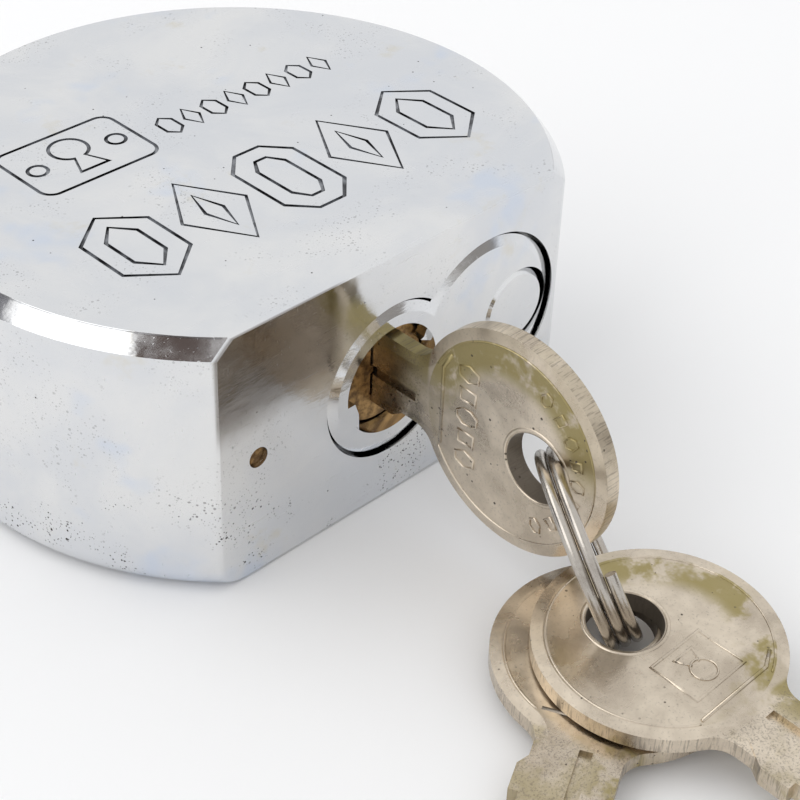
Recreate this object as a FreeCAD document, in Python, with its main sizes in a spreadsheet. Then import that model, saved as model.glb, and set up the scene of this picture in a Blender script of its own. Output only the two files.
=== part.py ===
"""Round hidden-pin padlock: a D-shaped steel body, a pull-out carrier with its cylinder and locking pin,
one key in the cylinder, and a split ring with two spare keys.

Frame, millimetres: the lock lies on its back face at Z = 0, the round body's axis is the Z axis, the flat
with the keyhole faces -Y, and +Z is the engraved front face.
"""

import FreeCAD, Part
import math
import os
import Sketcher

doc = FreeCAD.newDocument("HiddenPinPadlock")

SIZES = {
    # body
    "body_radius": 36.5,
    "flat_offset": 26.7,
    "body_height": 31.5,
    "rim_inward": 1.47,
    "rim_down": 1.85,
    "base_round": 2.5,
    "flat_break": 0.3,
    # engraving on the front face: two rows of plain outlines and a framed keyhole
    "groove_wide": 0.42,
    "groove_cut": 0.25,
    "row_left": -19.6,
    "row_y": -8.2,
    "row_pitch": 10.3,
    "row_wide": 9.0,
    "row_tall": 14.2,
    "row_stroke": 2.3,
    "small_left": -1.6,
    "small_y": 8.7,
    "small_pitch": 3.2,
    "small_wide": 2.5,
    "small_tall": 4.4,
    "small_line": 0.36,
    "frame_x": -13.1,
    "frame_y": 10.2,
    "frame_wide": 15.6,
    "frame_tall": 10.8,
    "frame_round": 1.8,
    # figure-of-eight recess and face plate
    "axis_x": -0.9,
    "axis_z": 15.7,
    "round_lobe": 9.46,
    "pin_lobe_x": 13.2,
    "pin_lobe_z": 16.2,
    "pin_lobe": 11.0,
    "plate_gap": 0.45,
    "plate_thick": 4.6,
    "seat_gap": 0.05,
    "plate_rim": 1.1,
    "mouth_radius": 6.5,
    "tab_front": 0.6,
    "tab_thick": 1.3,
    # locking pin and its seats
    "pin_x": 18.26,
    "pin_z": 15.98,
    "pin_radius": 4.6,
    "pin_window": 5.0,
    "pin_bore": 4.8,
    "pin_length": 52.2,
    "pin_sunk": 0.1,
    "seat_end": 26.2,
    "keeper_radius": 1.0,
    "keeper_groove": 3.5,
    "keeper_depth": 2.4,
    # hasp recess in the back face
    "hasp_left": 8.8,
    "hasp_right": 27.8,
    "hasp_front": 3.0,
    "hasp_rear": 18.5,
    "hasp_depth": 26.0,
    "hasp_corner": 2.5,
    # cylinder
    "bore_radius": 9.2,
    "shell_radius": 9.0,
    "slot_reach": 13.0,
    "slot_half": 6.5,
    "bible_reach": 12.7,
    "bible_half": 6.2,
    "shell_rear": 3.4,
    "recess_end": 0.2,
    "plug_radius": 6.3,
    "plug_bore": 6.35,
    "plug_sunk": 2.1,
    "stub_radius": 3.0,
    "stub_end": 0.2,
    "keyway_half": 1.3,
    "keyway_end": 4.4,
    "chamber_radius": 1.45,
    "tumbler_radius": 1.35,
    "first_chamber": 4.3,
    "chamber_pitch": 3.4,
    "driver_length": 2.4,
    "cover_inner": 12.0,
    "cover_thick": 0.6,
    "cover_half": 2.2,
    "spring_wire": 0.3,
    "spring_turns": 5,
    # cam
    "cam_thick": 2.0,
    "cam_hub": 6.0,
    "cam_reach": 12.2,
    "cam_half": 3.2,
    "cam_sweep": 12.7,
    "cam_free": 0.1,
    "clip_thick": 0.5,
    # screws and small pin
    "screw_radius": 1.25,
    "screw_head": 1.9,
    "screw_head_deep": 2.0,
    "screw_bite": 2.8,
    "screw_x": 9.6,
    "screw_z": 4.1,
    "face_pin_x": -19.7,
    "face_pin_z": 15.24,
    "face_pin_radius": 1.2,
    "face_pin_sunk": 0.6,
    "face_pin_deep": 8.0,
    # keys
    "bow_radius": 12.6,
    "bow_thick": 2.2,
    "bow_flat": 11.4,
    "bow_edge": 1.7,
    "hole_radius": 3.9,
    "hole_back": 3.7,
    "hole_down": 0.8,
    "blade_low": 2.1,
    "neck_top": 3.7,
    "neck_low": 4.9,
    "neck_round": 3.0,
    "stop_low": 5.7,
    "stop_start": 16.6,
    "shoulder": 19.75,
    "blade_length": 19.7,
    "blade_top": 3.5,
    "blade_edge": 4.7,
    "root_half": 0.45,
    "groove_deep": 0.55,
    # split ring
    "ring_radius": 10.09,
    "ring_wire": 0.6,
    "ring_pitch": 1.25,
    "ring_turns": 2.27,
    "ring_x": -0.85,
    "ring_y": -54.09,
    "ring_z": 9.84,
    "ring_yaw": -34.65,
    "ring_rise": 23.34,
    "ring_start": -18.5,
    "ring_shift": -0.823,
    # spare keys: bow centre, heading of the blade, and lean of the face
    "upper_x": -2.08,
    "upper_y": -65.49,
    "upper_z": 5.28,
    "upper_heading": -90,
    "upper_lean_x": -0.032,
    "upper_lean_y": -0.03,
    "lower_x": -4.55,
    "lower_y": -62.55,
    "lower_z": 2.92,
    "lower_heading": -152.5,
    "lower_lean_x": -0.032,
    "lower_lean_y": -0.03,
}
HEXAGON = ((0, -1), (1, -0.5), (1, 0.5), (0, 1), (-1, 0.5), (-1, -0.5))
DIAMOND = ((0, -1), (1, 0), (0, 1), (-1, 0))
OCTAGON = ((-0.4, -1), (0.4, -1), (1, -0.6), (1, 0.6), (0.4, 1), (-0.4, 1), (-1, 0.6), (-1, -0.6))
CUT_DEPTHS = (1.5, 2.5, 1.2, 2.1, 0.9)

sheet = doc.addObject("Spreadsheet::Sheet", "Sizes")
for row, (alias, size) in enumerate(SIZES.items(), start=1):
    sheet.set(f"A{row}", alias)
    sheet.set(f"B{row}", str(size))
    sheet.setAlias(f"B{row}", alias)
doc.recompute()


def bound(text):
    """A size expression written with bare aliases, made to point at the sheet."""
    words, word = [], ""
    for letter in text + " ":
        if letter.isalnum() or letter == "_" or (letter == "." and word and word[0].isdigit()):
            word += letter
            continue
        words.append("Sizes." + word if word in SIZES else word)
        words.append(letter)
        word = ""
    return "".join(words).strip()


def value(text):
    """The number that a size expression comes to."""
    return float(sheet.evalExpression(bound(str(text))))


def bind(thing, prop, text):
    thing.setExpression(prop, bound(str(text)))


class Sketch:
    """A sketch in one body whose points and radii are all bound to the sheet."""

    def __init__(self, body, name, plane="XY_Plane", offset="0"):
        self.item = body.newObject("Sketcher::SketchObject", name)
        origin = [f for f in body.Origin.OriginFeatures if f.Role == plane][0]
        self.item.AttachmentSupport = [(origin, "")]
        self.item.MapMode = "FlatFace"
        bind(self.item, "AttachmentOffset.Base.z", offset)

    def tie(self, kind, where, text):
        index = self.item.addConstraint(Sketcher.Constraint(kind, *where, value(text)))
        bind(self.item, f"Constraints[{index}]", text)

    def place(self, curve, end, x, y):
        self.tie("DistanceX", (-1, 1, curve, end), x)
        self.tie("DistanceY", (-1, 1, curve, end), y)

    def circle(self, x, y, radius):
        centre = FreeCAD.Vector(value(x), value(y), 0)
        ring = Part.Circle(centre, FreeCAD.Vector(0, 0, 1), value(radius))
        curve = self.item.addGeometry(ring, False)
        self.place(curve, 3, x, y)
        self.tie("Radius", (curve,), radius)
        return self

    def outline(self, steps):
        """A closed outline. A step is (x, y), or (x, y, radius, turn) where an arc leaves the point; turn is
        1 for anticlockwise and -1 for clockwise, and 2 or -2 takes the long way round."""
        spots = [FreeCAD.Vector(value(s[0]), value(s[1]), 0) for s in steps]
        curves = []
        for here, (step, spot) in enumerate(zip(steps, spots)):
            after = spots[(here + 1) % len(spots)]
            edge = Part.LineSegment(spot, after) if len(step) == 2 else arc(spot, after, *step[2:])
            curves.append(self.item.addGeometry(edge, False))
        for here, curve in enumerate(curves):
            step, nxt = steps[here], curves[(here + 1) % len(curves)]
            start = 1 if len(step) == 2 or step[3] > 0 else 2
            following = steps[(here + 1) % len(steps)]
            begin = 1 if len(following) == 2 or following[3] > 0 else 2
            join = Sketcher.Constraint("Coincident", curve, 3 - start, nxt, begin)
            self.item.addConstraint(join)
            self.place(curve, start, step[0], step[1])
            if len(step) == 4:
                self.tie("Radius", (curve,), step[2])
        return self

    def box(self, low_x, high_x, low_y, high_y):
        return self.outline([(low_x, low_y), (high_x, low_y), (high_x, high_y), (low_x, high_y)])


def arc(start, end, radius, turn):
    """The arc of the given radius from start to end."""
    size = value(radius)
    chord = end - start
    rise = math.sqrt(max(size**2 - (chord.Length / 2) ** 2, 0))
    side = 1 if turn in (1, -2) else -1
    normal = FreeCAD.Vector(-chord.y, chord.x, 0).normalize()
    centre = (start + end) * 0.5 + normal * rise * side
    angles = [math.atan2(p.y - centre.y, p.x - centre.x) for p in (start, end)]
    if turn < 0:
        angles.reverse()
    whole = Part.Circle(centre, FreeCAD.Vector(0, 0, 1), size)
    return Part.ArcOfCircle(whole, angles[0], angles[1])


def new_body(label):
    body = doc.addObject("PartDesign::Body", label)
    body.Label = label
    return body


def volume(body):
    doc.recompute()
    return body.Shape.Volume


def pad(body, sketch, length, midplane=False, back=False):
    """Adds the sketch's area; back pads against the sketch's normal."""
    feature = body.newObject("PartDesign::Pad", sketch.item.Name + "_pad")
    feature.Profile = sketch.item
    feature.Midplane = midplane
    feature.Reversed = back
    bind(feature, "Length", length)
    doc.recompute()
    return feature


def pocket(body, sketch, depth=None, midplane=False, back=False):
    """Cuts the sketch's area, and stops if nothing was cut."""
    before = volume(body)
    feature = body.newObject("PartDesign::Pocket", sketch.item.Name + "_cut")
    feature.Profile = sketch.item
    feature.Midplane = midplane
    feature.Reversed = back
    if depth is None:
        feature.Type = "ThroughAll"
    else:
        bind(feature, "Length", depth)
    if not volume(body) < before - 1e-6:
        raise RuntimeError(feature.Name + " cuts nothing")
    return feature


def dress(body, kind, wanted, **sizes):
    """A Fillet or Chamfer on the edges that wanted() picks."""
    doc.recompute()
    names = [f"Edge{i}" for i, e in enumerate(body.Shape.Edges, start=1) if wanted(e)]
    if not names:
        raise RuntimeError(f"{body.Label}: no edge for the {kind}")
    base = body.Tip
    feature = body.newObject("PartDesign::" + kind, f"{body.Label}_{kind.lower()}_{len(body.Group)}")
    feature.Base = (base, names)
    if len(sizes) > 1:
        feature.ChamferType = "Two distances"
    for prop, text in sizes.items():
        bind(feature, prop, text)
    doc.recompute()
    return feature


def flat_at(edge, axis, place, within=0.01):
    """Does the whole edge lie at one place along an axis?"""
    box = edge.BoundBox
    low, high = (getattr(box, axis + end) for end in ("Min", "Max"))
    return abs(low - place) < within and abs(high - place) < within


PARTS = []


def keep(item, label):
    """Lists a finished sub-part; its label names its file."""
    item.Label = label
    PARTS.append(item)
    return item


def along_y(body, name, front):
    """A sketch facing -Y at the Y that front gives; its own X and Y run along the frame's X and Z."""
    return Sketch(body, name, "XZ_Plane", f"0-({front})")


def figure_eight(sketch, shrink):
    """The two overlapping lobes, inset all round by shrink."""
    left, right = value(f"round_lobe-{shrink}"), value(f"pin_lobe-{shrink}")
    x1, z1 = value("axis_x"), value("axis_z")
    x2, z2 = value("pin_lobe_x"), value("pin_lobe_z")
    gap = math.hypot(x2 - x1, z2 - z1)
    reach = (left**2 - right**2 + gap**2) / (2 * gap)
    rise = math.sqrt(left**2 - reach**2)
    ux, uz = (x2 - x1) / gap, (z2 - z1) / gap
    top = x1 + reach * ux - rise * uz, z1 + reach * uz + rise * ux
    low = x1 + reach * ux + rise * uz, z1 + reach * uz - rise * ux
    return sketch.outline([
        (top[0], top[1], f"round_lobe-{shrink}", 2),
        (low[0], low[1], f"pin_lobe-{shrink}", 2),
    ])


def lock_body():
    body = new_body("lock_body")
    half_flat = "sqrt(body_radius^2-flat_offset^2)"
    profile = Sketch(body, "body_outline").outline([
        (f"0-{half_flat}", "0-flat_offset"),
        (half_flat, "0-flat_offset", "body_radius", 2),
    ])
    pad(body, profile, "body_height")
    on_round = lambda e: isinstance(e.Curve, Part.Circle)
    height = value("body_height")
    dress(body, "Chamfer", lambda e: on_round(e) and flat_at(e, "Z", height), Size="rim_down", Size2="rim_inward")
    dress(body, "Fillet", lambda e: on_round(e) and flat_at(e, "Z", 0), Radius="base_round")
    front = "0-flat_offset"
    face = value(front)
    dress(body, "Chamfer", lambda e: flat_at(e, "Y", face) and not flat_at(e, "Z", 0), Size="flat_break")
    pocket(body, figure_eight(along_y(body, "plate_recess", front), "0"), "plate_thick+seat_gap")
    bore = along_y(body, "cylinder_bore", front).circle("axis_x", "axis_z", "bore_radius")
    pocket(body, bore, "flat_offset+recess_end")
    slot = along_y(body, "chamber_slot", front)
    slot.box("axis_x", "axis_x+slot_reach", "axis_z-slot_half", "axis_z+slot_half")
    pocket(body, slot, "flat_offset+recess_end")
    sweep = along_y(body, "cam_sweep", "0-shell_rear-cam_free")
    past = "cam_sweep*0.25"
    wide = "cam_sweep*sqrt(1-0.25^2)"
    sweep.outline([
        ("axis_x", "axis_z-cam_half-0.4"),
        (f"axis_x+{wide}", f"axis_z-{past}", "cam_sweep", 1),
        (f"axis_x-{past}", f"axis_z+{wide}"),
        ("axis_x-cam_half-0.4", "axis_z"),
    ])
    pocket(body, sweep, "shell_rear+cam_free+recess_end")
    pin_way = along_y(body, "pin_way", front).circle("pin_x", "pin_z", "pin_bore")
    pocket(body, pin_way, "flat_offset+seat_end")
    hasp = Sketch(body, "hasp_recess", "XY_Plane").box("hasp_left", "hasp_right", "hasp_front", "hasp_rear")
    pocket(body, hasp, "hasp_depth", back=True)
    corners = {value("hasp_left"), value("hasp_right")}
    ends = {value("hasp_front"), value("hasp_rear")}
    upright = lambda e: any(flat_at(e, "X", c) for c in corners) and any(flat_at(e, "Y", c) for c in ends)
    dress(body, "Fillet", upright, Radius="hasp_corner")
    hole = along_y(body, "face_pin_hole", front).circle("face_pin_x", "face_pin_z", "face_pin_radius")
    pocket(body, hole, "face_pin_deep")
    engrave(body)
    return keep(body, "lock_body")


def groove(sketch, shape, x, y, wide, tall, line="groove_wide", inset="0"):
    """One engraved line round a shape: its outline moved in by inset, and again by the line's width."""
    for inward in (inset, f"{inset}+{line}"):
        sketch.outline([(f"{x}+({across})*({wide}*0.5-({inward}))", f"{y}+({along})*({tall}*0.5-({inward}))")
                        for across, along in shape])


def rounded(sketch, x, y, wide, tall, radius):
    """A rectangle with rounded corners, about x, y."""
    across, along, radius = f"({wide})*0.5", f"({tall})*0.5", f"({radius})"
    sketch.outline([
        (f"{x}-{across}+{radius}", f"{y}-{along}"),
        (f"{x}+{across}-{radius}", f"{y}-{along}", radius, 1),
        (f"{x}+{across}", f"{y}-{along}+{radius}"),
        (f"{x}+{across}", f"{y}+{along}-{radius}", radius, 1),
        (f"{x}+{across}-{radius}", f"{y}+{along}"),
        (f"{x}-{across}+{radius}", f"{y}+{along}", radius, 1),
        (f"{x}-{across}", f"{y}+{along}-{radius}"),
        (f"{x}-{across}", f"{y}-{along}+{radius}", radius, 1),
    ])


def engrave(body):
    """Shallow plain outlines in the front face. They stand for no letters and no mark."""
    row = Sketch(body, "large_row", "XY_Plane", "body_height")
    for index, shape in enumerate((HEXAGON, DIAMOND, OCTAGON, DIAMOND, HEXAGON)):
        x = f"row_left+{index}*row_pitch"
        groove(row, shape, x, "row_y", "row_wide", "row_tall")
        inset = "row_stroke*1.35" if shape is DIAMOND else "row_stroke"
        groove(row, shape, x, "row_y", "row_wide", "row_tall", inset=inset)
    pocket(body, row, "groove_cut")
    small = Sketch(body, "small_row", "XY_Plane", "body_height")
    for index in range(8):
        shape = DIAMOND if index % 2 else HEXAGON
        x = f"small_left+{index}*small_pitch"
        groove(small, shape, x, "small_y", "small_wide", "small_tall", line="small_line")
    pocket(body, small, "groove_cut")
    frame = Sketch(body, "framed_keyhole", "XY_Plane", "body_height")
    for inward in ("0", "groove_wide"):
        size = (f"frame_wide-2*{inward}", f"frame_tall-2*{inward}", f"frame_round-{inward}")
        rounded(frame, "frame_x", "frame_y", *size)
        half, neck, head = f"(2.1-{inward}*1.2)", f"(0.9-{inward})", f"(2.4-{inward})"
        throat = f"frame_y+1.6-sqrt({head}^2-{neck}^2)"
        frame.outline([
            (f"frame_x-{half}", f"frame_y-(3.4-{inward})"),
            (f"frame_x+{half}", f"frame_y-(3.4-{inward})"),
            (f"frame_x+{neck}", throat, head, 2),
            (f"frame_x-{neck}", throat),
        ])
        for side in (-1, 1):
            place = f"frame_x+({side})*5.2"
            frame.circle(place, "frame_y", f"1.3-{inward}")
    pocket(body, frame, "groove_cut")


def rod(label, x, z, radius, front, length, edge=None):
    """A round pin lying along Y from front, with its ends broken by edge."""
    body = new_body(label)
    pad(body, along_y(body, label + "_section", front).circle(x, z, radius), length, back=True)
    if edge:
        dress(body, "Chamfer", lambda e: isinstance(e.Curve, Part.Circle), Size=edge)
    return body


def face_pin():
    front = "0-flat_offset+face_pin_sunk"
    length = "face_pin_deep-face_pin_sunk"
    return keep(rod("face_pin", "face_pin_x", "face_pin_z", "face_pin_radius", front, length, "0.15"), "face_pin")


def face_plate():
    body = new_body("face_plate")
    front = "0-flat_offset"
    pad(body, figure_eight(along_y(body, "plate_outline", front), "plate_gap"), "plate_thick", back=True)
    face_y = value(front)
    dress(body, "Chamfer", lambda e: flat_at(e, "Y", face_y), Size="plate_rim*0.45", Size2="plate_rim")
    pocket(body, along_y(body, "key_mouth", front).circle("axis_x", "axis_z", "mouth_radius"))
    window = along_y(body, "pin_window_hole", front).circle("pin_x", "pin_z", "pin_window")
    pocket(body, window)
    high_tab = along_y(body, "high_tab", "0-flat_offset+tab_front").outline([
        ("axis_x+6.9", "axis_z+1.36"),
        ("axis_x+4.69", "axis_z+2.45"),
        ("axis_x+5.2", "axis_z+2.66"),
        ("axis_x+5.7", "axis_z+3.9"),
    ])
    pad(body, high_tab, "tab_thick", back=True)
    low_tab = along_y(body, "low_tab", "0-flat_offset+tab_front").outline([
        ("axis_x-6.9", "axis_z-1.4"),
        ("axis_x-6.2", "axis_z-5"),
        ("axis_x-4.2", "axis_z-5.3"),
        ("axis_x-4.28", "axis_z-2.93"),
        ("axis_x-4.84", "axis_z-1.35"),
    ])
    pad(body, low_tab, "tab_thick", back=True)
    keeper = Sketch(body, "keeper_hole", "XY_Plane")
    keeper.circle("pin_x-pin_radius", "keeper_depth-flat_offset", "keeper_radius")
    pocket(body, keeper, back=True)
    taps = along_y(body, "screw_taps", "0-flat_offset+plate_thick")
    for side in "+-":
        taps.circle("axis_x+screw_x", f"axis_z{side}screw_z", "screw_radius+0.02")
    pocket(body, taps, "screw_bite+0.3", back=True)
    return keep(body, "face_plate")


def locking_pin():
    front = "0-flat_offset+pin_sunk"
    body = rod("locking_pin", "pin_x", "pin_z", "pin_radius", front, "pin_length", "0.5")
    groove = along_y(body, "keeper_ring", "0-flat_offset+keeper_depth-keeper_radius-0.1")
    groove.circle("pin_x", "pin_z", "keeper_groove").circle("pin_x", "pin_z", "pin_radius+1")
    pocket(body, groove, "2*keeper_radius+0.2")
    return keep(body, "locking_pin")


def pin_keeper():
    """The dowel that runs up through the plate and the locking pin's groove, and holds the pin in the plate."""
    body = new_body("pin_keeper")
    section = Sketch(body, "keeper_section", "XY_Plane", "pin_z-8")
    section.circle("pin_x-pin_radius", "keeper_depth-flat_offset", "keeper_radius")
    pad(body, section, "16")
    dress(body, "Chamfer", lambda e: isinstance(e.Curve, Part.Circle), Size="0.2")
    return keep(body, "pin_keeper")


def chamber_y(index):
    return f"0-flat_offset+plug_sunk+first_chamber+{index}*chamber_pitch"


def bore_row(body, name, plane, offset, radius, depth, spots, back=False):
    """A row of round holes, one for each tumbler."""
    row = Sketch(body, name, plane, offset)
    for x, y in spots:
        row.circle(x, y, radius)
    return pocket(body, row, depth, back=back)


def cylinder_shell():
    body = new_body("cylinder_shell")
    front = "0-flat_offset+plate_thick"
    length = "flat_offset-plate_thick-shell_rear"
    pad(body, along_y(body, "shell_round", front).circle("axis_x", "axis_z", "shell_radius"), length, back=True)
    bible = along_y(body, "shell_bible", front)
    bible.box("axis_x+1", "axis_x+bible_reach", "axis_z-bible_half", "axis_z+bible_half")
    pad(body, bible, length, back=True)
    pocket(body, along_y(body, "plug_bore_hole", front).circle("axis_x", "axis_z", "plug_bore"))
    track = along_y(body, "cover_track", front)
    track.box("axis_x+cover_inner", "axis_x+bible_reach+1", "axis_z-cover_half-0.03", "axis_z+cover_half+0.03")
    pocket(body, track)
    spots = [(chamber_y(i), "axis_z") for i in range(len(CUT_DEPTHS))]
    offset = "axis_x+cover_inner"
    bore_row(body, "driver_chambers", "YZ_Plane", offset, "chamber_radius", "cover_inner-plug_bore+1", spots)
    for name, radius, depth in (
        ("screw_ways", "screw_radius+0.05", None),
        ("screw_head_ways", "screw_head+0.05", "screw_head_deep+0.1"),
    ):
        ways = along_y(body, name, "0-shell_rear")
        for side in "+-":
            ways.circle("axis_x+screw_x", f"axis_z{side}screw_z", radius)
        pocket(body, ways, depth, back=True)
    return keep(body, "cylinder_shell")


def chamber_cover():
    body = new_body("chamber_cover")
    front = "0-flat_offset+plate_thick"
    strip = along_y(body, "cover_section", front)
    outer = "axis_x+cover_inner+cover_thick"
    strip.box("axis_x+cover_inner", outer, "axis_z-cover_half", "axis_z+cover_half")
    pad(body, strip, "flat_offset-plate_thick-shell_rear", back=True)
    return keep(body, "chamber_cover")


def carrier_screws():
    """Two cap screws that hold the cylinder to the plate, kept as one group of solids."""
    solids = []
    for side, sign in (("high", "+"), ("low", "-")):
        x, z = "axis_x+screw_x", f"axis_z{sign}screw_z"
        body = new_body("carrier_screw_" + side)
        head_front = "0-shell_rear-screw_head_deep"
        head = along_y(body, f"head_{side}", head_front).circle(x, z, "screw_head")
        pad(body, head, "screw_head_deep", back=True)
        rim = value("0-shell_rear")
        dress(body, "Chamfer", lambda e: flat_at(e, "Y", rim), Size="0.25")
        shank_front = "0-flat_offset+plate_thick-screw_bite"
        shank = along_y(body, f"shank_{side}", shank_front).circle(x, z, "screw_radius")
        pad(body, shank, f"{head_front}-({shank_front})", back=True)
        drive = along_y(body, f"drive_{side}", "0-shell_rear")
        spots = [(math.cos(math.radians(a)), math.sin(math.radians(a))) for a in range(0, 360, 60)]
        drive.outline([(f"{x}+{c:.4f}", f"{z}+{s:.4f}") for c, s in spots])
        pocket(body, drive, "1.2", back=True)
        solids.append(body)
    group = doc.addObject("Part::Compound", "carrier_screws")
    group.Links = solids
    return keep(group, "carrier_screws")


def plug():
    body = new_body("plug")
    front = "0-flat_offset+plug_sunk"
    length = "flat_offset-plug_sunk-shell_rear"
    pad(body, along_y(body, "plug_round", front).circle("axis_x", "axis_z", "plug_radius"), length, back=True)
    face_y = value(front)
    dress(body, "Chamfer", lambda e: flat_at(e, "Y", face_y), Size="0.3")
    stub = along_y(body, "plug_stub", "0-shell_rear")
    stub.box("axis_x-2.1", "axis_x+2.1", "axis_z-2.1", "axis_z+2.1")
    pad(body, stub, "shell_rear-stub_end", back=True)
    way = along_y(body, "keyway", front)
    low, side = "axis_z-blade_edge+blade_low-0.15", "keyway_half"
    way.outline([
        (f"axis_x-{side}", low),
        (f"axis_x+{side}", low),
        (f"axis_x+{side}", "axis_z+blade_low-0.45"),
        (f"axis_x+{side}-0.45", "axis_z+blade_low-0.3"),
        (f"axis_x+{side}-0.45", "axis_z+blade_low+0.5"),
        (f"axis_x+{side}", "axis_z+blade_low+0.65"),
        (f"axis_x+{side}", "axis_z+plug_radius+0.5"),
        (f"axis_x-{side}", "axis_z+plug_radius+0.5"),
        (f"axis_x-{side}", "axis_z+1.15"),
        (f"axis_x-{side}+0.45", "axis_z+1"),
        (f"axis_x-{side}+0.45", "axis_z+0.2"),
        (f"axis_x-{side}", "axis_z+0.05"),
    ])
    pocket(body, way, "flat_offset-plug_sunk-keyway_end")
    spots = [("axis_x", chamber_y(i)) for i in range(len(CUT_DEPTHS))]
    offset = "axis_z-plug_radius-1"
    bore_row(body, "key_pin_chambers", "XY_Plane", offset, "chamber_radius", "plug_radius+1.8", spots, back=True)
    clip_groove = along_y(body, "clip_groove", "0-shell_rear+cam_thick+0.1")
    clip_groove.circle("axis_x", "axis_z", "2.3").circle("axis_x", "axis_z", "stub_radius+1")
    pocket(body, clip_groove, "clip_thick+0.1")
    return keep(body, "plug")


def cam():
    """The tongue on the plug's square tail. It points at +X when the lock can open, and at +Z when it is locked."""
    body = new_body("cam")
    front = "0-shell_rear+0.05"
    pad(body, along_y(body, "cam_hub_round", front).circle("axis_x", "axis_z", "cam_hub"), "cam_thick", back=True)
    lobe = along_y(body, "cam_lobe", front)
    inner = "sqrt(cam_reach^2-cam_half^2)"
    lobe.outline([
        ("axis_x", "axis_z-cam_half"),
        (f"axis_x+{inner}", "axis_z-cam_half", "cam_reach", 1),
        (f"axis_x+{inner}", "axis_z+cam_half"),
        ("axis_x", "axis_z+cam_half"),
    ])
    pad(body, lobe, "cam_thick", back=True)
    square = along_y(body, "cam_square", front)
    square.box("axis_x-2.15", "axis_x+2.15", "axis_z-2.15", "axis_z+2.15")
    pocket(body, square)
    return keep(body, "cam")


def cam_clip():
    """The C-shaped clip in the tail's groove, behind the cam."""
    body = new_body("cam_clip")
    front = "0-shell_rear+cam_thick+0.15"
    ring = along_y(body, "clip_ring", front)
    ring.circle("axis_x", "axis_z", "3.7").circle("axis_x", "axis_z", "2.35")
    pad(body, ring, "clip_thick-0.05", back=True)
    mouth = along_y(body, "clip_mouth", front).box("axis_x-1.2", "axis_x+1.2", "axis_z-5", "axis_z")
    pocket(body, mouth)
    return keep(body, "cam_clip")


def tumblers():
    """Five driver pins with their springs in the shell, and five key pins in the plug, standing on the cuts."""
    for index, depth in enumerate(CUT_DEPTHS):
        place, number = chamber_y(index), index + 1
        driver = new_body(f"driver_pin_{number}")
        base = Sketch(driver, f"driver_section_{number}", "YZ_Plane", "axis_x+plug_bore+0.02")
        pad(driver, base.circle(place, "axis_z", "tumbler_radius"), "driver_length")
        dress(driver, "Chamfer", lambda e: isinstance(e.Curve, Part.Circle), Size="0.2")
        keep(driver, f"driver_pin_{number}")
        keep(spring(number, place), f"driver_spring_{number}")

        pin = new_body(f"key_pin_{number}")
        tip = f"axis_z+blade_low-blade_edge+{depth}-0.03"
        foot = "axis_z-plug_radius+0.15"
        section = Sketch(pin, f"key_pin_section_{number}", "XY_Plane", foot)
        pad(pin, section.circle("axis_x", place, "tumbler_radius"), f"{tip}-({foot})")
        top = value(tip)
        dress(pin, "Chamfer", lambda e: flat_at(e, "Z", top), Size="tumbler_radius-root_half+0.05")
        keep(pin, f"key_pin_{number}")


def spring(number, place):
    """A driver's spring: a round wire swept along a helix that starts on the driver."""
    room = "cover_inner-plug_bore-0.02-driver_length"
    spine = doc.addObject("Part::Helix", f"spring_line_{number}")
    bind(spine, "Radius", "tumbler_radius-spring_wire*0.5-0.05")
    bind(spine, "Height", f"{room}-spring_wire-0.1")
    bind(spine, "Pitch", f"({room}-spring_wire-0.1)/spring_turns")
    spine.SegmentLength = 1
    wire = doc.addObject("Part::Circle", f"spring_wire_{number}")
    bind(wire, "Radius", "spring_wire*0.5")
    bind(wire, "Placement.Base.x", "tumbler_radius-spring_wire*0.5-0.05")
    wire.Placement.Rotation = FreeCAD.Rotation(FreeCAD.Vector(1, 0, 0), 90)
    coil = swept(f"driver_spring_{number}", wire, spine)
    start = "axis_x+plug_bore+0.02+driver_length+spring_wire*0.5+0.05"
    coil.Placement.Rotation = FreeCAD.Rotation(FreeCAD.Vector(0, 1, 0), 90)
    for part, text in (("x", start), ("y", place), ("z", "axis_z")):
        bind(coil, f"Placement.Base.{part}", text)
    return coil


def swept(label, section, spine):
    doc.recompute()
    edges = [f"Edge{i + 1}" for i in range(len(spine.Shape.Edges))]
    sweep = doc.addObject("Part::Sweep", label)
    sweep.Sections = [section]
    sweep.Spine = (spine, edges)
    sweep.Solid = True
    sweep.Frenet = True
    return sweep


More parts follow.
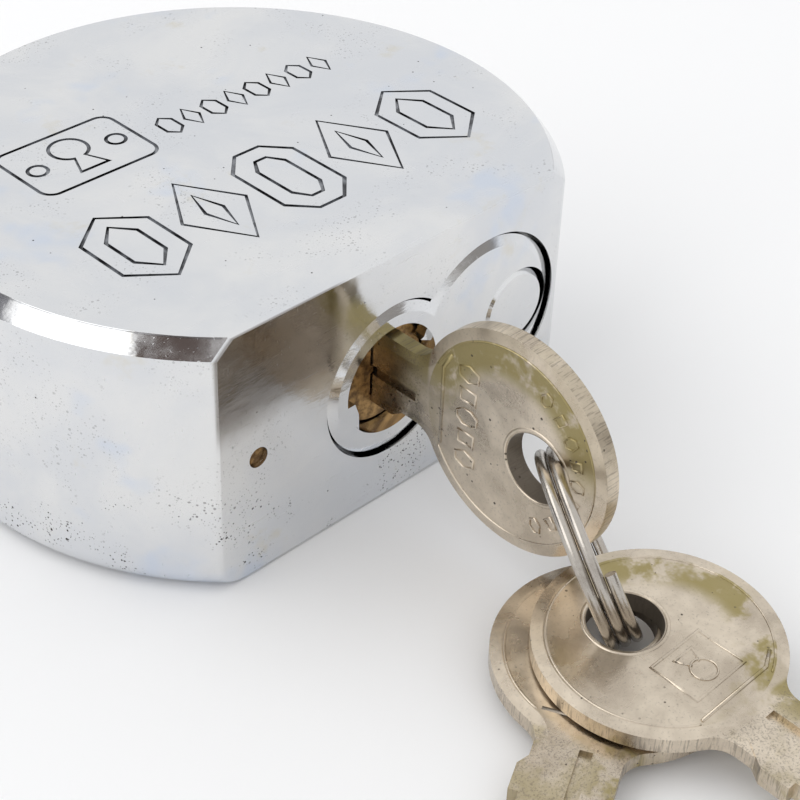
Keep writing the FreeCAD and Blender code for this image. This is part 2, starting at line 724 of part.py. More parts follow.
def key_outline():
    """The key's outline in its own frame: bow centre at the origin, blade along +X, cuts on the -Y side."""
    share = "bow_radius/(bow_radius+neck_round)"
    high_x = "sqrt((bow_radius+neck_round)^2-(neck_top+neck_round)^2)"
    low_x = "sqrt((bow_radius+neck_round)^2-(neck_low+neck_round)^2)"
    steps = [
        (high_x, "neck_top", "neck_round", -1),
        (f"{high_x}*{share}", f"(neck_top+neck_round)*{share}", "bow_radius", 2),
        (f"{low_x}*{share}", f"0-(neck_low+neck_round)*{share}", "neck_round", -1),
        (low_x, "0-neck_low"),
        ("stop_start-1.2", "0-neck_low"),
        ("stop_start", "0-stop_low"),
        ("shoulder", "0-stop_low"),
        ("shoulder", "0-blade_edge"),
    ]
    depths = (0, *CUT_DEPTHS)
    for index, depth in enumerate(CUT_DEPTHS):
        root = f"shoulder+first_chamber+{index}*chamber_pitch+0.05"
        before = depths[index]
        if index:
            crest = max((before + depth + 2 * SIZES["root_half"] - SIZES["chamber_pitch"]) / 2, 0)
            shift = f"root_half+{depth - crest:.4f}"
            steps.append((f"{root}-({shift})", f"0-blade_edge+{crest:.4f}"))
        else:
            steps.append((f"{root}-root_half-{depth}", "0-blade_edge"))
        steps.append((f"{root}-root_half", f"0-blade_edge+{depth}"))
        steps.append((f"{root}+root_half", f"0-blade_edge+{depth}"))
        follows = CUT_DEPTHS[index + 1] if index + 1 < len(CUT_DEPTHS) else 0
        meet = depth + follows + 2 * SIZES["root_half"] - SIZES["chamber_pitch"]
        if index + 1 == len(CUT_DEPTHS):
            steps.append((f"{root}+root_half+{depth}-0.3", "0-blade_edge+0.3"))
        elif meet <= 0:
            steps.append((f"{root}+root_half+{depth}", "0-blade_edge"))
    steps.append(("shoulder+blade_length", "0-blade_edge+1.6"))
    steps.append(("shoulder+blade_length", "blade_top-2.6"))
    steps.append(("shoulder+blade_length-2.4", "blade_top"))
    steps.append(("shoulder", "blade_top"))
    steps.append(("shoulder-0.6", "neck_top"))
    return steps


def key(label, origin, rotation):
    """A flat key. Its cuts and grooves are the same on every key of the set."""
    body = new_body(label)
    pad(body, Sketch(body, label + "_outline").outline(key_outline()), "bow_thick", midplane=True)
    reach = value("bow_radius")
    on_bow = lambda e: isinstance(e.Curve, Part.Circle) and abs(e.Curve.Radius - reach) < 0.01
    dress(body, "Chamfer", on_bow, Size="(bow_thick-bow_edge)*0.5", Size2="bow_radius-bow_flat")
    hole = Sketch(body, label + "_hole").circle("0-hole_back", "0-hole_down", "hole_radius")
    pocket(body, hole, midplane=True)
    face = "bow_thick*0.5"
    high = Sketch(body, label + "_groove_a", "XY_Plane", face)
    high.box("stop_start-3.4", "shoulder+blade_length+1", "0-0.55", "0.75")
    pocket(body, high, "groove_deep")
    low = Sketch(body, label + "_groove_b", "XY_Plane", f"0-{face}")
    low.box("stop_start-3.4", "shoulder+blade_length+1", "0-2.05", "0-0.85")
    pocket(body, low, "groove_deep", back=True)
    body.Placement = FreeCAD.Placement(FreeCAD.Vector(*[value(c) for c in origin]), rotation)
    for part, text in zip("xyz", origin):
        bind(body, f"Placement.Base.{part}", text)
    return keep(body, label)


def axes(along, up):
    """The rotation that turns a key's blade direction to along, and its face to up."""
    return FreeCAD.Rotation(FreeCAD.Vector(*along), FreeCAD.Vector(0, 0, 0), FreeCAD.Vector(*up), "XZY")


def split_ring():
    """The ring's wire, wound a little over two turns, with its free end on the side that faces the user."""
    spine = doc.addObject("Part::Helix", "ring_line")
    spine.LocalCoord = "Left-handed"
    bind(spine, "Radius", "ring_radius")
    bind(spine, "Pitch", "ring_pitch")
    bind(spine, "Height", "ring_pitch*ring_turns")
    wire = doc.addObject("Part::Circle", "ring_wire_section")
    bind(wire, "Radius", "ring_wire")
    bind(wire, "Placement.Base.x", "ring_radius")
    wire.Placement.Rotation = FreeCAD.Rotation(FreeCAD.Vector(1, 0, 0), 90)
    coil = swept("split_ring", wire, spine)
    turn = FreeCAD.Rotation(value("ring_yaw"), 90 - value("ring_rise"), value("0"))
    coil.Placement.Rotation = turn * FreeCAD.Rotation(FreeCAD.Vector(0, 0, 1), value("ring_start"))
    back = turn.multVec(FreeCAD.Vector(0, 0, value("ring_shift*ring_pitch")))
    for part, text, shift in zip("xyz", ("ring_x", "ring_y", "ring_z"), back):
        bind(coil, f"Placement.Base.{part}", f"{text}+({shift:.4f})")
    return keep(coil, "split_ring")


def keys():
    """One key in the cylinder, standing upright, and two spare keys lying on what the lock stands on."""
    bow = ("axis_x", "0-flat_offset+plug_sunk-shoulder-0.05", "axis_z+blade_low")
    key("key", bow, axes((0, 1, 0), (1, 0, 0)))
    for label, place, lean in (("spare_key_upper", "upper", "upper"), ("spare_key_lower", "lower", "lower")):
        angle = math.radians(value(f"{place}_heading"))
        along = FreeCAD.Vector(math.cos(angle), math.sin(angle), 0)
        up = FreeCAD.Vector(value(f"{lean}_lean_x"), value(f"{lean}_lean_y"), 1).normalize()
        along = (along - up * along.dot(up)).normalize()
        key(label, (f"{place}_x", f"{place}_y", f"{place}_z"), axes(along, up))


def check(items):
    """Stops if any object failed to build, or any sub-part isn't one valid closed shape."""
    doc.recompute()
    for item in doc.Objects:
        if {"Invalid", "Error"} & set(item.State):
            raise RuntimeError(f"{item.Label} failed to build: {item.State}")
    for item in items:
        shape = item.Shape
        if shape.isNull() or not shape.isValid() or not shape.Solids:
            raise RuntimeError(f"{item.Label} has no valid shape")


def main():
    for make in (lock_body, face_pin, face_plate, locking_pin, pin_keeper, cylinder_shell, chamber_cover,
                 carrier_screws, plug, cam, cam_clip, tumblers, keys, split_ring):
        make()
    check(PARTS)
    os.makedirs("parts", exist_ok=True)
    for item in PARTS:
        item.Shape.exportStep(f"parts/{item.Label}.step")
        print(f"{item.Label}: {len(item.Shape.Solids)} solid(s), {item.Shape.Volume:.2f} mm3")


main()
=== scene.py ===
"""Looks for the hidden-pin padlock, its key and its ring of spare keys."""

import math

import bmesh
import bpy
from mathutils import Matrix, Vector


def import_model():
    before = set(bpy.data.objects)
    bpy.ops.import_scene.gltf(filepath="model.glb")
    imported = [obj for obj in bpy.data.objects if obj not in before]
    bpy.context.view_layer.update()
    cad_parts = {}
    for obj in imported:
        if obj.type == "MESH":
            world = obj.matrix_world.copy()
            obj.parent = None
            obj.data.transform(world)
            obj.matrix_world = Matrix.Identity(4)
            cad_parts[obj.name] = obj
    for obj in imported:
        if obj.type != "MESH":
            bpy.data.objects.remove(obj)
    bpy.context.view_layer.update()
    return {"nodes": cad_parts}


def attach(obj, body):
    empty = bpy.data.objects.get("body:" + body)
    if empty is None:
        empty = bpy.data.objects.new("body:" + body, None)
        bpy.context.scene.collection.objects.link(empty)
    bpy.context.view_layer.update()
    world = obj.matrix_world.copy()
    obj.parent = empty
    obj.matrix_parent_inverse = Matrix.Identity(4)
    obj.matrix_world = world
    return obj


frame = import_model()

MM = 0.001
scene = bpy.context.scene
nodes = frame["nodes"]

# The keys' places in the CAD, in millimetres: the bow's centre, the way the blade points, and the way the
# marked face looks. The hole and the bow are the same on every key.
KEY_PLACES = {
    "key": ((-0.9, -44.4, 17.8), (0, 1, 0), (1, 0, 0)),
    "spare_key_upper": ((-2.08, -65.49, 5.28), (0, -1, 0), (-0.032, -0.03, 1)),
    "spare_key_lower": ((-4.55, -62.55, 2.92), (-0.887, -0.4617, 0), (-0.032, -0.03, 1)),
}
KEY_BODIES = {"key": "key", "spare_key_upper": "spare_upper", "spare_key_lower": "spare_lower"}
# How high the stamped lines stand on a key's two faces, as a share: less where another key or the table
# is close.
MARK_LIFTS = {"key": (1, 1), "spare_key_upper": (1, 0.38), "spare_key_lower": (0.38, 0.38)}
# How much olive stain shows: the limits of the noise between clean and stained.
STAINS = {"key": (0.33, 0.47), "spare_key_upper": (0.42, 0.56), "spare_key_lower": (0.42, 0.56)}

# Sizes of the CAD, in millimetres: the key's hole, bow and half thickness, the body's top, and the middle
# of the plate's round mouth.
HOLE = Vector((-3.7, -0.8, 0))
HOLE_RADIUS, BOW_RADIUS, BOW_FLAT, FACE = 3.9, 12.6, 11.4, 1.1
TOP = 31.5
MOUTH = Vector((-0.9, -26.7, 15.7))

# The camera's view: degrees, and millimetres.
VIEW_AZIMUTH, VIEW_ELEVATION, VIEW_ROLL = -45.82, 37.44, 2.23
VIEW_TARGET, VIEW_DISTANCE = Vector((-6.97, -33.81, 20.0)), 190.56
SENSOR, LENS = 36.0, 85.203

# The room's light from low down and from above, and its strength.
ROOM_LOW, ROOM_HIGH, ROOM_STRENGTH = (0.90, 0.91, 0.93), (0.98, 0.985, 0.99), 0.98
# Bright and dim parts of the studio: the way to its middle, the cosines of its edge, and its colour.
STUDIO_PATCHES = (
    ((-0.82, 0.10, 0.55), 0.93, 0.97, (2.2, 2.2, 2.2)),
    ((-0.65, -0.38, 0.655), 0.972, 0.981, (0.13, 0.10, 0.09)),
    ((-0.70, 0.64, 0.32), 0.960, 0.972, (0.16, 0.16, 0.18)),
    ((0.45, -0.88, 0.12), 0.93, 0.965, (0.34, 0.32, 0.30)),
)
SOFTBOX_PLACE, SOFTBOX_SIDE = (-0.25, 0.35, 0.55), 0.5
SOFTBOX_POWER, SOFTBOX_COLOUR = 1.0, (1.0, 0.99, 0.97)
# Half the floor's side and how far it lies under the object, in metres.
FLOOR_REACH, FLOOR_DROP, FLOOR_COLOUR = 6.0, 0.0001, (0.90, 0.90, 0.905, 1)

# Colours of the metals and of what lies on them, and of the painted shade and the painted reflection.
CHROME_COOL, CHROME_WARM = (0.69, 0.705, 0.73), (0.78, 0.78, 0.775)
CHROME_BLUE, CHROME_TAN = (0.58, 0.66, 0.80), (0.66, 0.60, 0.45)
# The near-black for the seam is painted shade in the gap round the plate; the brown for the flat is a
# painted dark reflection.
PIT_BLACK, PAINTED_SHADE_BLACK, PAINTED_REFLECTION_BROWN = (0.045, 0.04, 0.036), (0.03, 0.028, 0.026), (0.20, 0.175, 0.155)
GROOVE_DARK, GROOVE_PALE = (0.06, 0.06, 0.065), (0.30, 0.31, 0.33)
NICKEL_DARK, NICKEL_PALE, NICKEL_GRAIN = (0.49, 0.42, 0.335), (0.74, 0.65, 0.53), (0.26, 0.23, 0.19)
OLIVE, HOLE_GRIME = (0.33, 0.27, 0.10), (0.13, 0.11, 0.09)
EDGE_HATCH, SPECK_BROWN = (0.2, 0.17, 0.14), (0.12, 0.10, 0.08)

# Where pits, grime, painted shade and a painted reflection lie, in millimetres: none at the first number,
# all at the second. First the body's low part, then the recess for the plate (painted shade), the flat
# (painted reflection), the engraved lines, the plate's side (painted shade) and the key.
PITS_LOW = (16.0, 2.0)
RECESS_LEFT, RECESS_TOP, RECESS_LOW = (-11.2, -10.8), (27.5, 27.2), (4.8, 5.1)
RECESS_FRONT, RECESS_DEEP = (-26.35, -26.2), (-24.0, -25.2)
# Limits of the painted dark reflection on the flat's upper left.
REFLECTION_FACE, REFLECTION_RIGHT, REFLECTION_UNDER, REFLECTION_WAVE = (-26.5, -26.65), (-7.2, -10.0), (21.5, 26.2), 0.006
GROOVE_RIM, GROOVE_FLAT = (35.2, 35.0), (-26.2, -26.0)
GROOVE_TOP, GROOVE_BOTTOM = (TOP - 0.02, TOP - 0.06), (TOP - 0.4, TOP - 0.35)
# Limits of the painted shade on the plate's outer wall.
PLATE_FRONT, PLATE_MOUTH, PLATE_DEEP = (-26.2, -26.1), (7.8, 8.0), (-24.2, -25.4)
OLIVE_RIM, OLIVE_SIDE, OLIVE_NECK = (6.5, 9.0), (-2.0, 4.0), (8.5, 12.5)
KEY_BEVEL, BEVEL_END = (BOW_FLAT - 0.1, BOW_FLAT), (11.8, 11.2)
HOLE_WALL = (HOLE_RADIUS + 0.12, HOLE_RADIUS + 0.02)
BOW_EDGE = (BOW_RADIUS - 0.06, BOW_RADIUS - 0.02)

# The section across a stamped line: places across it and heights, as shares of its half width and height.
RIDGE_SECTION = ((-1, -0.4), (-0.8, 0.35), (-0.35, 0.9), (0.35, 0.9), (0.8, 0.35), (1, -0.4))
MITRE_LIMIT = 0.4
# Half the width and the height of each kind of stamped line, in millimetres.
HOLE_LINE, RIM_LINE, NECK_LINE = (0.24, 0.13), (0.14, 0.11), (0.24, 0.2)
BOX_LINE, LOCK_LINE, ROW_LINE, ARC_LINE = (0.17, 0.17), (0.15, 0.17), (0.13, 0.17), (0.11, 0.17)
# Corners of the stamped lines in the key's own plane, in millimetres.
NECK_POINTS = ((8.3, 6.6), (9.4, 4.6), (9.4, -5.2))
BOX_POINTS = ((1.9, -3.6), (7.6, -3.6), (7.6, 3.6), (1.9, 3.6))
SKIRT_POINTS = ((4.5, -0.5), (2.9, -1.3), (2.9, 1.3), (4.5, 0.5))


# ---------------------------------------------------------------- camera, light and floor

def camera():
    """A close three-quarter look down at the flat and the engraved face."""
    azimuth, elevation, roll = (math.radians(v) for v in (VIEW_AZIMUTH, VIEW_ELEVATION, VIEW_ROLL))
    back = Vector((math.sin(azimuth) * math.cos(elevation), -math.cos(azimuth) * math.cos(elevation),
                   math.sin(elevation)))
    data = bpy.data.cameras.new("camera")
    data.sensor_width, data.lens = SENSOR, LENS
    data.clip_start, data.clip_end = 0.01, 10.0
    item = bpy.data.objects.new("camera", data)
    scene.collection.objects.link(item)
    right = Vector((math.cos(azimuth), math.sin(azimuth), 0.0))
    up = back.cross(right)
    turned_right = right * math.cos(roll) + up * math.sin(roll)
    turned_up = up * math.cos(roll) - right * math.sin(roll)
    turn = Matrix((turned_right, turned_up, back)).transposed()
    item.matrix_world = Matrix.Translation(VIEW_TARGET * MM + back * VIEW_DISTANCE * MM) @ turn.to_4x4()
    scene.camera = item


def softbox():
    """One large soft light above and behind, aimed at the origin."""
    data = bpy.data.lights.new("softbox_top", "AREA")
    data.shape, data.size, data.size_y = "RECTANGLE", SOFTBOX_SIDE, SOFTBOX_SIDE
    data.energy, data.color = SOFTBOX_POWER, SOFTBOX_COLOUR
    item = bpy.data.objects.new("softbox_top", data)
    scene.collection.objects.link(item)
    item.location = SOFTBOX_PLACE
    item.rotation_mode = "QUATERNION"
    item.rotation_quaternion = (-Vector(SOFTBOX_PLACE)).to_track_quat("-Z", "Y")


class Graph:
    """Short calls for building one node tree. A plain number or colour is set on the socket itself."""

    def __init__(self, tree):
        self.tree = tree

    def put(self, kind, inputs=(), **settings):
        item = self.tree.nodes.new(kind)
        for name, setting in settings.items():
            setattr(item, name, setting)
        for socket, source in dict(inputs).items():
            self.set(item.inputs[socket], source)
        return item

    def set(self, socket, source):
        if isinstance(source, bpy.types.NodeSocket):
            self.tree.links.new(source, socket)
        else:
            socket.default_value = source

    def math(self, operation, first, second, clamp=False):
        item = self.put("ShaderNodeMath", {0: first, 1: second}, operation=operation, use_clamp=clamp)
        return item.outputs[0]

    def add(self, first, second):
        return self.math("ADD", first, second)

    def times(self, first, *others):
        for other in others:
            first = self.math("MULTIPLY", first, other)
        return first

    def most(self, first, second, clamp=False):
        return self.math("MAXIMUM", first, second, clamp)

    def vector(self, operation, first, second=(0, 0, 0)):
        item = self.put("ShaderNodeVectorMath", {0: first, 1: second}, operation=operation)
        return item.outputs["Value" if operation in ("LENGTH", "DOT_PRODUCT", "DISTANCE") else "Vector"]

    def step(self, source, low, high):
        """0 below low and 1 above high, or the other way round if low is the larger."""
        if low < high:
            limits = {"From Min": low, "From Max": high, "To Min": 0.0, "To Max": 1.0}
        else:
            limits = {"From Min": high, "From Max": low, "To Min": 1.0, "To Max": 0.0}
        inputs = {"Value": source, **limits}
        return self.put("ShaderNodeMapRange", inputs, interpolation_type="SMOOTHSTEP").outputs[0]

    def place(self, source, limits):
        """The same step for a place in metres, between limits in millimetres."""
        return self.step(source, limits[0] * MM, limits[1] * MM)

    def noise(self, vector, scale, detail, rough, warp=0.0):
        inputs = {"Vector": vector, "Scale": scale, "Detail": detail, "Roughness": rough, "Distortion": warp}
        return self.put("ShaderNodeTexNoise", inputs).outputs[0]

    def cells(self, vector, scale):
        """The distance to a random point of each cell, and a random number of that cell."""
        item = self.put("ShaderNodeTexVoronoi", {"Vector": vector, "Scale": scale})
        random_number = self.put("ShaderNodeSeparateColor", {0: item.outputs["Color"]}).outputs[0]
        return item.outputs["Distance"], random_number

    def mix(self, share, first, second):
        item = self.put("ShaderNodeMix", data_type="RGBA")
        self.set(item.inputs[0], share)
        self.set(item.inputs[6], first if isinstance(first, bpy.types.NodeSocket) else (*first, 1))
        self.set(item.inputs[7], second if isinstance(second, bpy.types.NodeSocket) else (*second, 1))
        return item.outputs[2]

    def stretch(self, vector, scale, turn=(0, 0, 0)):
        return self.put("ShaderNodeMapping", {"Vector": vector, "Scale": scale, "Rotation": turn}).outputs[0]

    def turned(self, vector, turn):
        return self.stretch(vector, (1, 1, 1), turn)

    def bump(self, height, strength, distance, normal=None):
        inputs = {"Height": height, "Strength": strength, "Distance": distance}
        if normal is not None:
            inputs["Normal"] = normal
        return self.put("ShaderNodeBump", inputs).outputs[0]


def world():
    """A bright studio room: white all round, with one brighter part and three dim ones, so that the chrome
    and the engraved lines have something to show."""
    room = bpy.data.worlds.new("studio")
    room.use_nodes = True
    room.node_tree.nodes.clear()
    g = Graph(room.node_tree)
    way = g.put("ShaderNodeTexCoord").outputs["Generated"]
    height = g.put("ShaderNodeSeparateXYZ", {0: way}).outputs["Z"]
    light = g.mix(g.step(height, -0.1, 0.9), ROOM_LOW, ROOM_HIGH)
    for centre, low, high, colour in STUDIO_PATCHES:
        towards = g.vector("DOT_PRODUCT", way, Vector(centre).normalized())
        light = g.mix(g.step(towards, low, high), light, colour)
    shine = g.put("ShaderNodeBackground", {"Color": light, "Strength": ROOM_STRENGTH})
    g.put("ShaderNodeOutputWorld", {"Surface": shine.outputs[0]})
    scene.world = room


def floor():
    r = FLOOR_REACH
    mesh = bpy.data.meshes.new("floor")
    mesh.from_pydata([(-r, -r, 0), (r, -r, 0), (r, r, 0), (-r, r, 0)], [], [(0, 1, 2, 3)])
    item = bpy.data.objects.new("floor", mesh)
    item.location.z = -FLOOR_DROP
    scene.collection.objects.link(item)
    paper = bpy.data.materials.new("floor_paper")
    paper.use_nodes = True
    shader = paper.node_tree.nodes["Principled BSDF"]
    shader.inputs["Base Color"].default_value = FLOOR_COLOUR
    shader.inputs["Roughness"].default_value = 0.55
    shader.inputs["Specular IOR Level"].default_value = 0.2
    mesh.materials.append(paper)


# ---------------------------------------------------------------- materials

def metal(name):
    """A new metal material: its graph, its shader and the object's own coordinates in metres."""
    item = bpy.data.materials.new(name)
    item.use_nodes = True
    g = Graph(item.node_tree)
    shader = item.node_tree.nodes["Principled BSDF"]
    shader.inputs["Metallic"].default_value = 1.0
    return item, g, shader, g.put("ShaderNodeTexCoord").outputs["Object"]


def pits(g, where, scale, size, mask):
    """Small dark holes: a share of the cells, each of its own size, and only where mask is high."""
    distance, number = g.cells(where, scale)
    radius = g.times(g.math("SUBTRACT", number, 0.35, True), size)
    inside = g.math("SUBTRACT", radius, distance)
    return g.times(g.step(inside, 0.0, 0.06), mask)


def chrome(name, pitted, part):
    """Old bright chrome: cloudy wipe marks, faint stains, scratches, and pits in clusters; on the body also
    painted shade in the plate's recess and a painted dark reflection on the flat, and on the plate painted
    shade on its outer wall.
    """
    item, g, shader, where = metal(name)
    x, y, z = g.put("ShaderNodeSeparateXYZ", {0: where}).outputs
    cloud = g.noise(where, scale=55, detail=5, rough=0.6, warp=0.4)
    mottle = g.noise(where, scale=260, detail=4, rough=0.6)
    tint = g.mix(g.step(cloud, 0.35, 0.7), CHROME_COOL, CHROME_WARM)
    blue = g.noise(g.turned(where, (0.3, 0.5, 1.1)), scale=85, detail=3, rough=0.6)
    tint = g.mix(g.times(g.step(blue, 0.57, 0.72), 0.5), tint, CHROME_BLUE)
    tan = g.noise(g.turned(where, (1.3, 0.2, 0.4)), scale=120, detail=4, rough=0.65)
    tint = g.mix(g.times(g.step(tan, 0.60, 0.74), 0.42), tint, CHROME_TAN)
    dark = chrome_pits(g, where, z, pitted)
    tint = g.mix(dark, tint, PIT_BLACK)
    scratch = g.noise(g.stretch(where, (140, 5200, 5200), (0.2, 0.4, 0.9)), scale=1.0, detail=2, rough=0.5)
    other = g.noise(g.stretch(where, (6100, 120, 900), (0.1, 0.7, -0.5)), scale=1.0, detail=2, rough=0.5)
    lines = g.most(g.step(scratch, 0.68, 0.74), g.step(other, 0.69, 0.75))
    rough = g.add(g.times(g.step(mottle, 0.35, 0.75), 0.13), 0.07)
    rough = g.add(rough, g.times(g.step(cloud, 0.45, 0.7), 0.08))
    rough = g.add(rough, g.times(lines, 0.2))
    rough = g.most(rough, g.times(dark, 0.6), True)
    if part == "body":
        # The wall of the plate's recess is painted near black as shade.
        tint = g.mix(seam_painted_shade(g, x, y, z), tint, PAINTED_SHADE_BLACK)
        # The flat's upper left gets a painted dark reflection in brown.
        tint = g.mix(g.times(flat_painted_reflection(g, x, y, z, cloud), 0.72), tint, PAINTED_REFLECTION_BROWN)
        sunk = groove_grime(g, where, y, z)
        tint = g.mix(sunk, tint, g.mix(g.step(mottle, 0.4, 0.6), GROOVE_DARK, GROOVE_PALE))
        rough = g.most(rough, g.times(sunk, 0.38))
    elif part == "plate":
        # The plate's outer wall is painted near black as shade.
        tint = g.mix(plate_side_painted_shade(g, where, y), tint, PAINTED_SHADE_BLACK)
    g.set(shader.inputs["Base Color"], tint)
    g.set(shader.inputs["Roughness"], rough)
    soft = g.bump(g.noise(where, scale=95, detail=3, rough=0.5), 0.25, 0.0005)
    ripple = g.noise(g.stretch(where, (300, 300, 900)), scale=1.0, detail=3, rough=0.6)
    cut = g.bump(lines, -0.25, 0.00004, g.bump(ripple, 0.10, 0.0002, soft))
    g.set(shader.inputs["Normal"], g.bump(dark, -0.6, 0.00012, cut))
    return item


def chrome_pits(g, where, z, pitted):
    """Pits in clusters, more of them low on the object, and a few large ones anywhere."""
    cluster = g.step(g.noise(where, scale=130, detail=3, rough=0.6), 0.50, 0.66)
    near = g.times(cluster, g.add(g.times(g.place(z, PITS_LOW), 0.9), 0.3))
    coarse = pits(g, where, 1700, 0.5 * pitted, near)
    fine = pits(g, g.turned(where, (0.4, 0.9, 0.2)), 3600, 0.62 * pitted, near)
    lone = pits(g, g.turned(where, (1.4, 0.2, 0.8)), 620, 0.15 * pitted, 1.0)
    return g.most(g.most(coarse, fine), lone)


def seam_painted_shade(g, x, y, z):
    """Painted shade: the first millimetre of the wall of the plate's recess, just behind the flat."""
    across = g.times(g.place(x, RECESS_LEFT), g.place(z, RECESS_TOP), g.place(z, RECESS_LOW))
    return g.times(across, g.place(y, RECESS_FRONT), g.place(y, RECESS_DEEP))


def flat_painted_reflection(g, x, y, z, cloud):
    """A painted dark reflection on the flat, in its upper left corner, standing in for the mirrored shaded
    back of the key's bow.
    """
    under = g.place(g.add(z, g.times(cloud, REFLECTION_WAVE)), REFLECTION_UNDER)
    return g.times(g.place(y, REFLECTION_FACE), g.place(x, REFLECTION_RIGHT), under)


def groove_grime(g, where, y, z):
    """The walls and bottoms of the engraved lines, which are all well inside the rim."""
    inner = g.place(g.vector("LENGTH", g.vector("MULTIPLY", where, (1, 1, 0))), GROOVE_RIM)
    return g.times(g.place(z, GROOVE_TOP), inner, g.place(z, GROOVE_BOTTOM), g.place(y, GROOVE_FLAT))


def plate_side_painted_shade(g, where, y):
    """Painted shade on the first millimetre of the plate's outer wall; its mouth stays bright."""
    from_mouth = g.vector("MULTIPLY", g.vector("SUBTRACT", where, MOUTH * MM), (1, 0, 1))
    outer = g.place(g.vector("LENGTH", from_mouth), PLATE_MOUTH)
    return g.times(g.place(y, PLATE_FRONT), outer, g.place(y, PLATE_DEEP))


def key_metal(name, place, stain):
    """Worn nickel plate over brass: warm grey, olive stains by the rim and the neck, grimy hole wall."""
    item, g, shader, where = metal(name)
    to_key = key_matrix(place).inverted()
    turn, shift = to_key.to_3x3().to_euler("XYZ"), to_key.to_translation()
    local = g.put("ShaderNodeMapping", {"Vector": where, "Rotation": turn, "Location": shift}).outputs[0]
    x, y = g.put("ShaderNodeSeparateXYZ", {0: local}).outputs[:2]
    in_plane = g.vector("MULTIPLY", local, (1, 1, 0))
    reach = g.vector("LENGTH", in_plane)
    from_hole = g.vector("DISTANCE", in_plane, HOLE * MM)
    cloud = g.noise(where, scale=170, detail=4, rough=0.6, warp=0.3)
    grain = g.noise(where, scale=3800, detail=2, rough=0.6)
    tint = g.mix(g.step(cloud, 0.3, 0.72), NICKEL_DARK, NICKEL_PALE)
    tint = g.mix(g.times(g.step(grain, 0.55, 0.75), 0.35), tint, NICKEL_GRAIN)
    patch = g.noise(where, scale=210, detail=4, rough=0.65, warp=0.2)
    rim = g.times(g.place(reach, OLIVE_RIM), g.step(patch, *stain), g.place(y, OLIVE_SIDE))
    neck = g.times(g.place(x, OLIVE_NECK), g.step(patch, 0.42, 0.62), 0.55)
    bevel = g.times(g.place(reach, KEY_BEVEL), g.place(x, BEVEL_END))
    olive = g.times(g.most(rim, neck), g.math("SUBTRACT", 1.0, g.times(bevel, 0.85)))
    tint = g.mix(g.times(olive, 0.85), tint, OLIVE)
    wall = g.place(from_hole, HOLE_WALL)
    tint = g.mix(g.times(wall, 0.75), tint, HOLE_GRIME)
    edge = g.place(reach, BOW_EDGE)
    hatch = g.noise(g.stretch(local, (5200, 5200, 500)), scale=1.0, detail=2, rough=0.6)
    tint = g.mix(g.times(g.most(edge, wall), g.step(hatch, 0.5, 0.65), 0.5), tint, EDGE_HATCH)
    speckled = g.step(g.noise(where, scale=300, detail=3, rough=0.6), 0.5, 0.62)
    tint = g.mix(pits(g, where, 1500, 0.4, speckled), tint, SPECK_BROWN)
    rough = g.add(g.times(g.step(cloud, 0.35, 0.7), 0.14), 0.24)
    rough = g.add(rough, g.times(olive, 0.12))
    rough = g.most(rough, g.times(wall, 0.6))
    g.set(shader.inputs["Base Color"], tint)
    g.set(shader.inputs["Roughness"], rough)
    dents = g.bump(g.noise(where, scale=240, detail=3, rough=0.5), 0.3, 0.0003)
    brushed = g.noise(g.stretch(local, (300, 6500, 6500), (0, 0, 0.15)), scale=1.0, detail=2, rough=0.6)
    g.set(shader.inputs["Normal"], g.bump(grain, 0.22, 0.00004, g.bump(brushed, 0.12, 0.00003, dents)))
    return item


def plain_metal(name, light, dark, rough, scale=700.0, grain=2600.0, wear=0.5, spread=0.15):
    """A machined metal with grime between two colours and a fine grain."""
    item, g, shader, where = metal(name)
    cloud = g.noise(where, scale=scale, detail=4, rough=0.65, warp=0.2)
    fine = g.noise(where, scale=grain, detail=2, rough=0.6)
    tint = g.mix(g.step(cloud, wear - 0.15, wear + 0.2), light, dark)
    tint = g.mix(g.times(g.step(fine, 0.55, 0.8), 0.3), tint, dark)
    g.set(shader.inputs["Base Color"], tint)
    g.set(shader.inputs["Roughness"], g.add(g.times(cloud, spread), rough))
    g.set(shader.inputs["Normal"], g.bump(fine, 0.25, 0.00003))
    return item


# ---------------------------------------------------------------- stamped marks on the keys

def key_matrix(place):
    """From a key's own frame, with the bow's centre at the origin and the blade along +X, to the CAD's."""
    centre, along, up = (Vector(v) for v in place)
    up.normalize()
    along = (along - up * along.dot(up)).normalized()
    turn = Matrix((along, up.cross(along), up)).transposed()
    return Matrix.Translation(centre * MM) @ turn.to_4x4()


def ridge(bm, points, closed, half, high, base):
    """A low rounded ridge along points in the plane at height base; high is negative on the other face."""
    count = len(points)
    rings = []
    for index, point in enumerate(points):
        before = points[index - 1] if index or closed else point
        after = points[(index + 1) % count] if index + 1 < count or closed else point
        first, second = (point - before), (after - point)
        first = first.normalized() if first.length else second.normalized()
        second = second.normalized() if second.length else first
        tangent = (first + second).normalized()
        side = Vector((-tangent.y, tangent.x))
        wide = half / max(side.dot(Vector((-first.y, first.x))), MITRE_LIMIT)
        rings.append([bm.verts.new((*(point + side * wide * across), base + high * rise))
                      for across, rise in RIDGE_SECTION])
    pairs = list(zip(rings, rings[1:])) + ([(rings[-1], rings[0])] if closed else [])
    for a, b in pairs:
        for k in range(len(RIDGE_SECTION) - 1):
            bm.faces.new((a[k], a[k + 1], b[k + 1], b[k]))
    if not closed:
        bm.faces.new(rings[0])
        bm.faces.new(list(reversed(rings[-1])))


def polygon(centre, sides, wide, tall, turn=0.0):
    """Corners of a regular figure stretched to wide by tall and turned."""
    corners = []
    for k in range(sides):
        a = 2 * math.pi * (k + 0.5) / sides
        x, y = math.cos(a) * wide, math.sin(a) * tall
        corners.append(Vector((centre[0] + x * math.cos(turn) - y * math.sin(turn),
                               centre[1] + x * math.sin(turn) + y * math.cos(turn))))
    return corners


def circle(centre, radius, count=72, start=0.0, sweep=2 * math.pi):
    return [Vector((centre[0] + radius * math.cos(start + sweep * k / count),
                    centre[1] + radius * math.sin(start + sweep * k / count))) for k in range(count)]


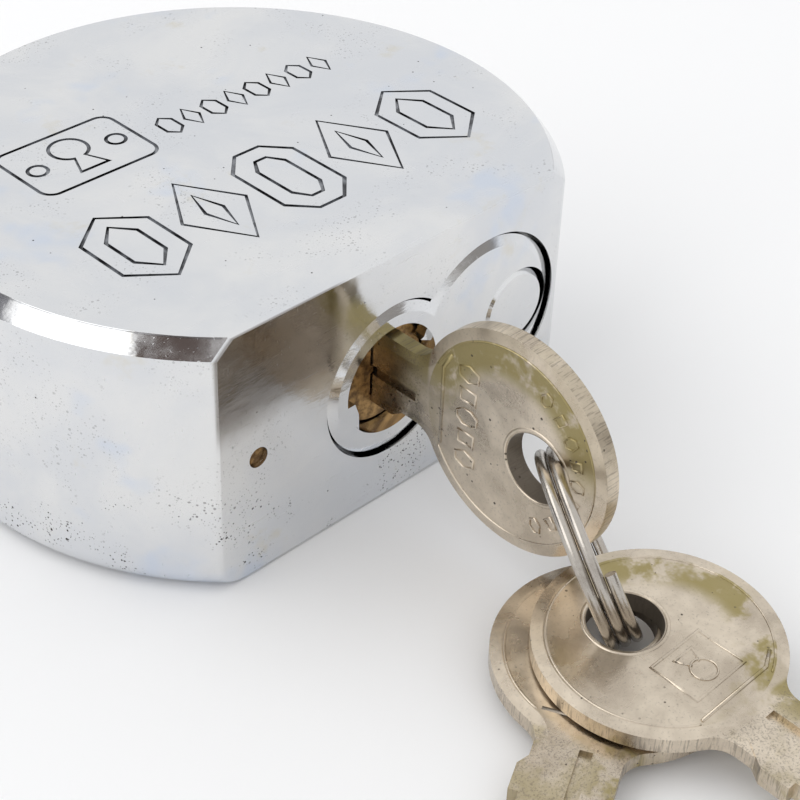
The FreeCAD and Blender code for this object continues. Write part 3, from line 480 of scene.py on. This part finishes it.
def key_marks(name, place, metal_item, lifts):
    """The bow's stamped lines, on both faces: none of them stands for a letter or a mark."""
    bm = bmesh.new()
    for face, lift in ((FACE, lifts[0]), (-FACE, -lifts[1])):
        def line(points, size, closed=True):
            half, high = size
            ridge(bm, [Vector(p) for p in points], closed, half, high * lift, face)

        line(circle(HOLE, HOLE_RADIUS + 0.35), HOLE_LINE)
        line(circle((0, 0), BOW_FLAT - 0.25, 160, 0.42, 5.37), RIM_LINE, False)
        line(NECK_POINTS, NECK_LINE, False)
        if face > 0:
            line(BOX_POINTS, BOX_LINE)
            line(circle((5.5, 0.0), 1.35, 40), LOCK_LINE)
            line(SKIRT_POINTS, LOCK_LINE, False)
        else:
            for k, sides in enumerate((6, 4, 8, 4, 6)):
                line(polygon((5.9, -5.4 + 2.7 * k), sides, 1.5, 1.05), ROW_LINE)
            for k in range(9):
                a = math.radians(118 + 15.5 * k)
                at = (9.0 * math.cos(a), 9.0 * math.sin(a))
                line(polygon(at, 4 if k % 2 else 6, 0.95, 0.7, a), ARC_LINE)
    bmesh.ops.recalc_face_normals(bm, faces=bm.faces)
    mesh = bpy.data.meshes.new(name + "_stamped_lines")
    bm.transform(Matrix.Scale(MM, 4))
    bm.transform(key_matrix(place))
    bm.to_mesh(mesh)
    bm.free()
    for polygon_face in mesh.polygons:
        polygon_face.use_smooth = True
    mesh.materials.append(metal_item)
    item = bpy.data.objects.new(name + "_stamped_lines", mesh)
    scene.collection.objects.link(item)
    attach(item, KEY_BODIES[name])


# ---------------------------------------------------------------- the scene

def dress(node, metal_item):
    mesh = nodes[node].data
    mesh.materials.clear()
    mesh.materials.append(metal_item)


scene.view_settings.view_transform = "Standard"
camera()
world()
floor()
softbox()
body_chrome = chrome("worn_chrome_body", 1.0, "body")
plate_chrome = chrome("worn_chrome_plate", 0.8, "plate")
brass = plain_metal("aged_brass", (0.46, 0.28, 0.11), (0.13, 0.075, 0.035), 0.3,
                    scale=900.0, grain=4200.0, wear=0.48)
pin_steel = chrome("worn_chrome_pin", 0.7, "pin")
steel = plain_metal("machined_steel", (0.56, 0.55, 0.53), (0.25, 0.24, 0.22), 0.25)
wire = plain_metal("ring_wire", (0.50, 0.465, 0.42), (0.30, 0.26, 0.22), 0.17,
                   scale=260.0, grain=5200.0, wear=0.6, spread=0.1)
dress("lock_body", body_chrome)
dress("face_plate", plate_chrome)
dress("locking_pin", pin_steel)
for node in ("face_pin", "plug", "cylinder_shell", "chamber_cover"):
    dress(node, brass)
for number in range(1, 6):
    dress(f"driver_pin_{number}", brass)
    dress(f"key_pin_{number}", brass)
    dress(f"driver_spring_{number}", steel)
for node in ("pin_keeper", "carrier_screws", "cam", "cam_clip"):
    dress(node, steel)
dress("split_ring", wire)
for node, place in KEY_PLACES.items():
    nickel = key_metal("worn_nickel_" + node, place, STAINS[node])
    dress(node, nickel)
    key_marks(node, place, nickel, MARK_LIFTS[node])
